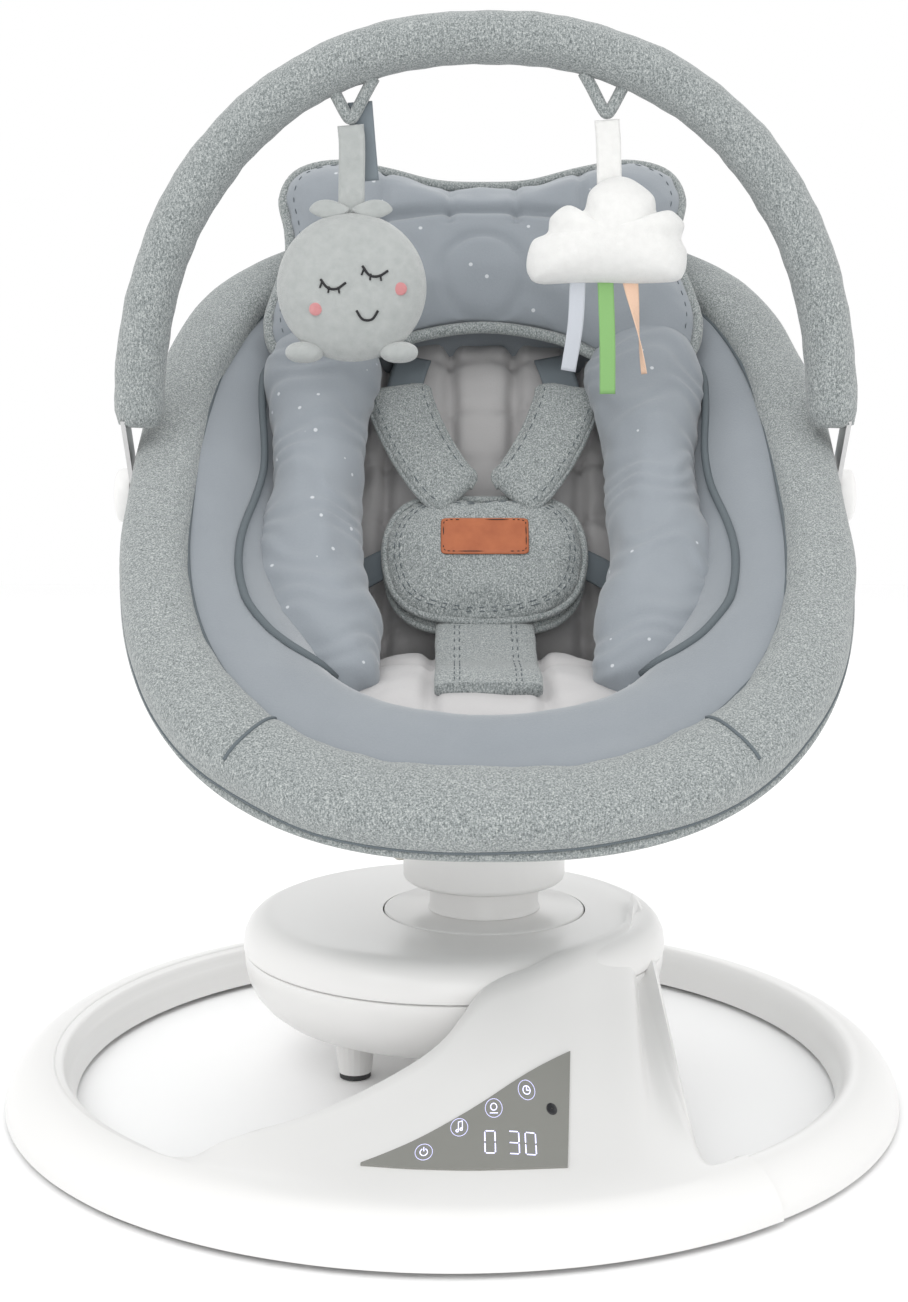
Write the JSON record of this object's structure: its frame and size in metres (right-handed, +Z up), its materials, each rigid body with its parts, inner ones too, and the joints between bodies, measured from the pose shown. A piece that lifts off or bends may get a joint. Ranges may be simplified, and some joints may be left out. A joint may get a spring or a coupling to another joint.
{
  "type": "baby swing",
  "caption": "Motor-driven baby swing: padded reclining seat on a turntable, swept column on a round floor ring, toy bar with hanging plush toys.",
  "frame": {"origin": "on the floor at the centre of the round floor ring", "axes": "+Z up, -Y the front that the baby faces, +X to the right as seen from the front"},
  "size_m": [0.5999, 0.5999, 0.7112],
  "materials": {
    "white_plastic": "satin moulded plastic",
    "black_plastic": "satin",
    "beige_plastic": "satin",
    "gear_plastic": "plain",
    "smoked_lens": "gloss",
    "circuit_board": "solder mask",
    "rubber": "matte",
    "steel": "plated",
    "melange_fabric": "melange weave",
    "velvet_fabric": "short pile",
    "starry_fabric": "printed cotton",
    "pale_fabric": "soft jersey",
    "webbing": "woven webbing",
    "leather": "debossed",
    "grey_plush": "plush",
    "white_plush": "plush"
  },
  "bodies": {
    "base": {"rear_ring": "white_plastic", "column_shell": "white_plastic", "ring_bottom_cover": "white_plastic", "ring_pad_1": "rubber", "ring_pad_2": "rubber", "ring_pad_3": "rubber", "ring_pad_4": "rubber", "housing_top_cover": "white_plastic", "housing_bowl": "white_plastic", "housing_bottom_cover": "white_plastic", "cover_screw": "steel", "power_inlet": "black_plastic", "support_foot": "white_plastic", "support_foot_pad": "rubber", "lower_bearing": "steel", "upper_bearing": "steel", "motor": "steel", "speaker": "black_plastic", "panel_lens": "smoked_lens", "infrared_window": "black_plastic", "circuit_board": "circuit_board", "display_module": "black_plastic"},
    "swing": {"turntable_disc": "white_plastic", "neck": "white_plastic", "collar": "white_plastic", "recline_bracket": "steel", "recline_pin": "steel", "main_shaft": "steel", "sector_gear": "gear_plastic"},
    "seat": {"backrest_pad": "pale_fabric", "bar_bracket_left": "steel", "bar_bracket_right": "steel", "belly_pad": "melange_fabric", "bolster_left": "starry_fabric", "bolster_right": "starry_fabric", "buckle": "black_plastic", "crotch_pad": "melange_fabric", "head_pillow": "starry_fabric", "leather_label": "leather", "seat_border": "melange_fabric", "seat_frame_hoop": "steel", "seat_liner": "velvet_fabric", "seat_mount": "white_plastic", "seat_pad": "pale_fabric", "seat_shell": "melange_fabric", "shoulder_pad_left": "melange_fabric", "shoulder_pad_right": "melange_fabric", "shoulder_strap_left": "webbing", "shoulder_strap_right": "webbing", "side_hub_left": "white_plastic", "side_hub_right": "white_plastic", "waist_strap_left": "webbing", "waist_strap_right": "webbing"},
    "toy_bar": {"toy_bar_core": "steel", "toy_bar_sleeve": "melange_fabric"},
    "pinion": {"pinion": "gear_plastic"},
    "lock_tab": {"lock_tab": "beige_plastic"},
    "buckle_button": {"buckle_button": "black_plastic"},
    "left_toy": {"left_toy_face": "grey_plush"},
    "right_toy": {"right_toy_cloud": "white_plush"}
  },
  "joints": [
    {"name": "swing", "type": "hinge", "parent": "base", "child": "swing", "pos_m": [0.021, 0.03, 0.11], "axis": [0, 0, 1], "range_deg": [-15, 15]},
    {"name": "pinion_spin", "type": "hinge", "parent": "base", "child": "pinion", "pos_m": [-0.0345, 0.03, 0.106], "axis": [0, 0, 1], "range_deg": [-97, 97]},
    {"name": "recline", "type": "hinge", "parent": "swing", "child": "seat", "pos_m": [0.021, 0.03, 0.166], "axis": [1, 0, 0], "range_deg": [-10, 8]},
    {"name": "lock_tab_slide", "type": "slide", "parent": "swing", "child": "lock_tab", "axis": [1, 0, 0], "range_m": [0, 0.003], "stiffness_N_per_m": 600},
    {"name": "toy_bar_fold", "type": "hinge", "parent": "seat", "child": "toy_bar", "pos_m": [0.021, -0.005, 0.4512], "axis": [1, 0, 0], "range_deg": [-35, 50]},
    {"name": "left_toy_swing", "type": "hinge", "parent": "toy_bar", "child": "left_toy", "pos_m": [-0.067, -0.005, 0.6597], "axis": [1, 0, 0], "range_deg": [-45, 15]},
    {"name": "right_toy_swing", "type": "hinge", "parent": "toy_bar", "child": "right_toy", "pos_m": [0.099, -0.005, 0.6631], "axis": [1, 0, 0], "range_deg": [-45, 15]},
    {"name": "buckle_press", "type": "slide", "parent": "seat", "child": "buckle_button", "axis": [0, 0.5291, 0.8486], "range_m": [0, 0.0018], "stiffness_N_per_m": 500}
  ],
  "couplings": [
    {"joint": "pinion_spin", "follows": "swing", "ratio": -6.4}
  ]
}
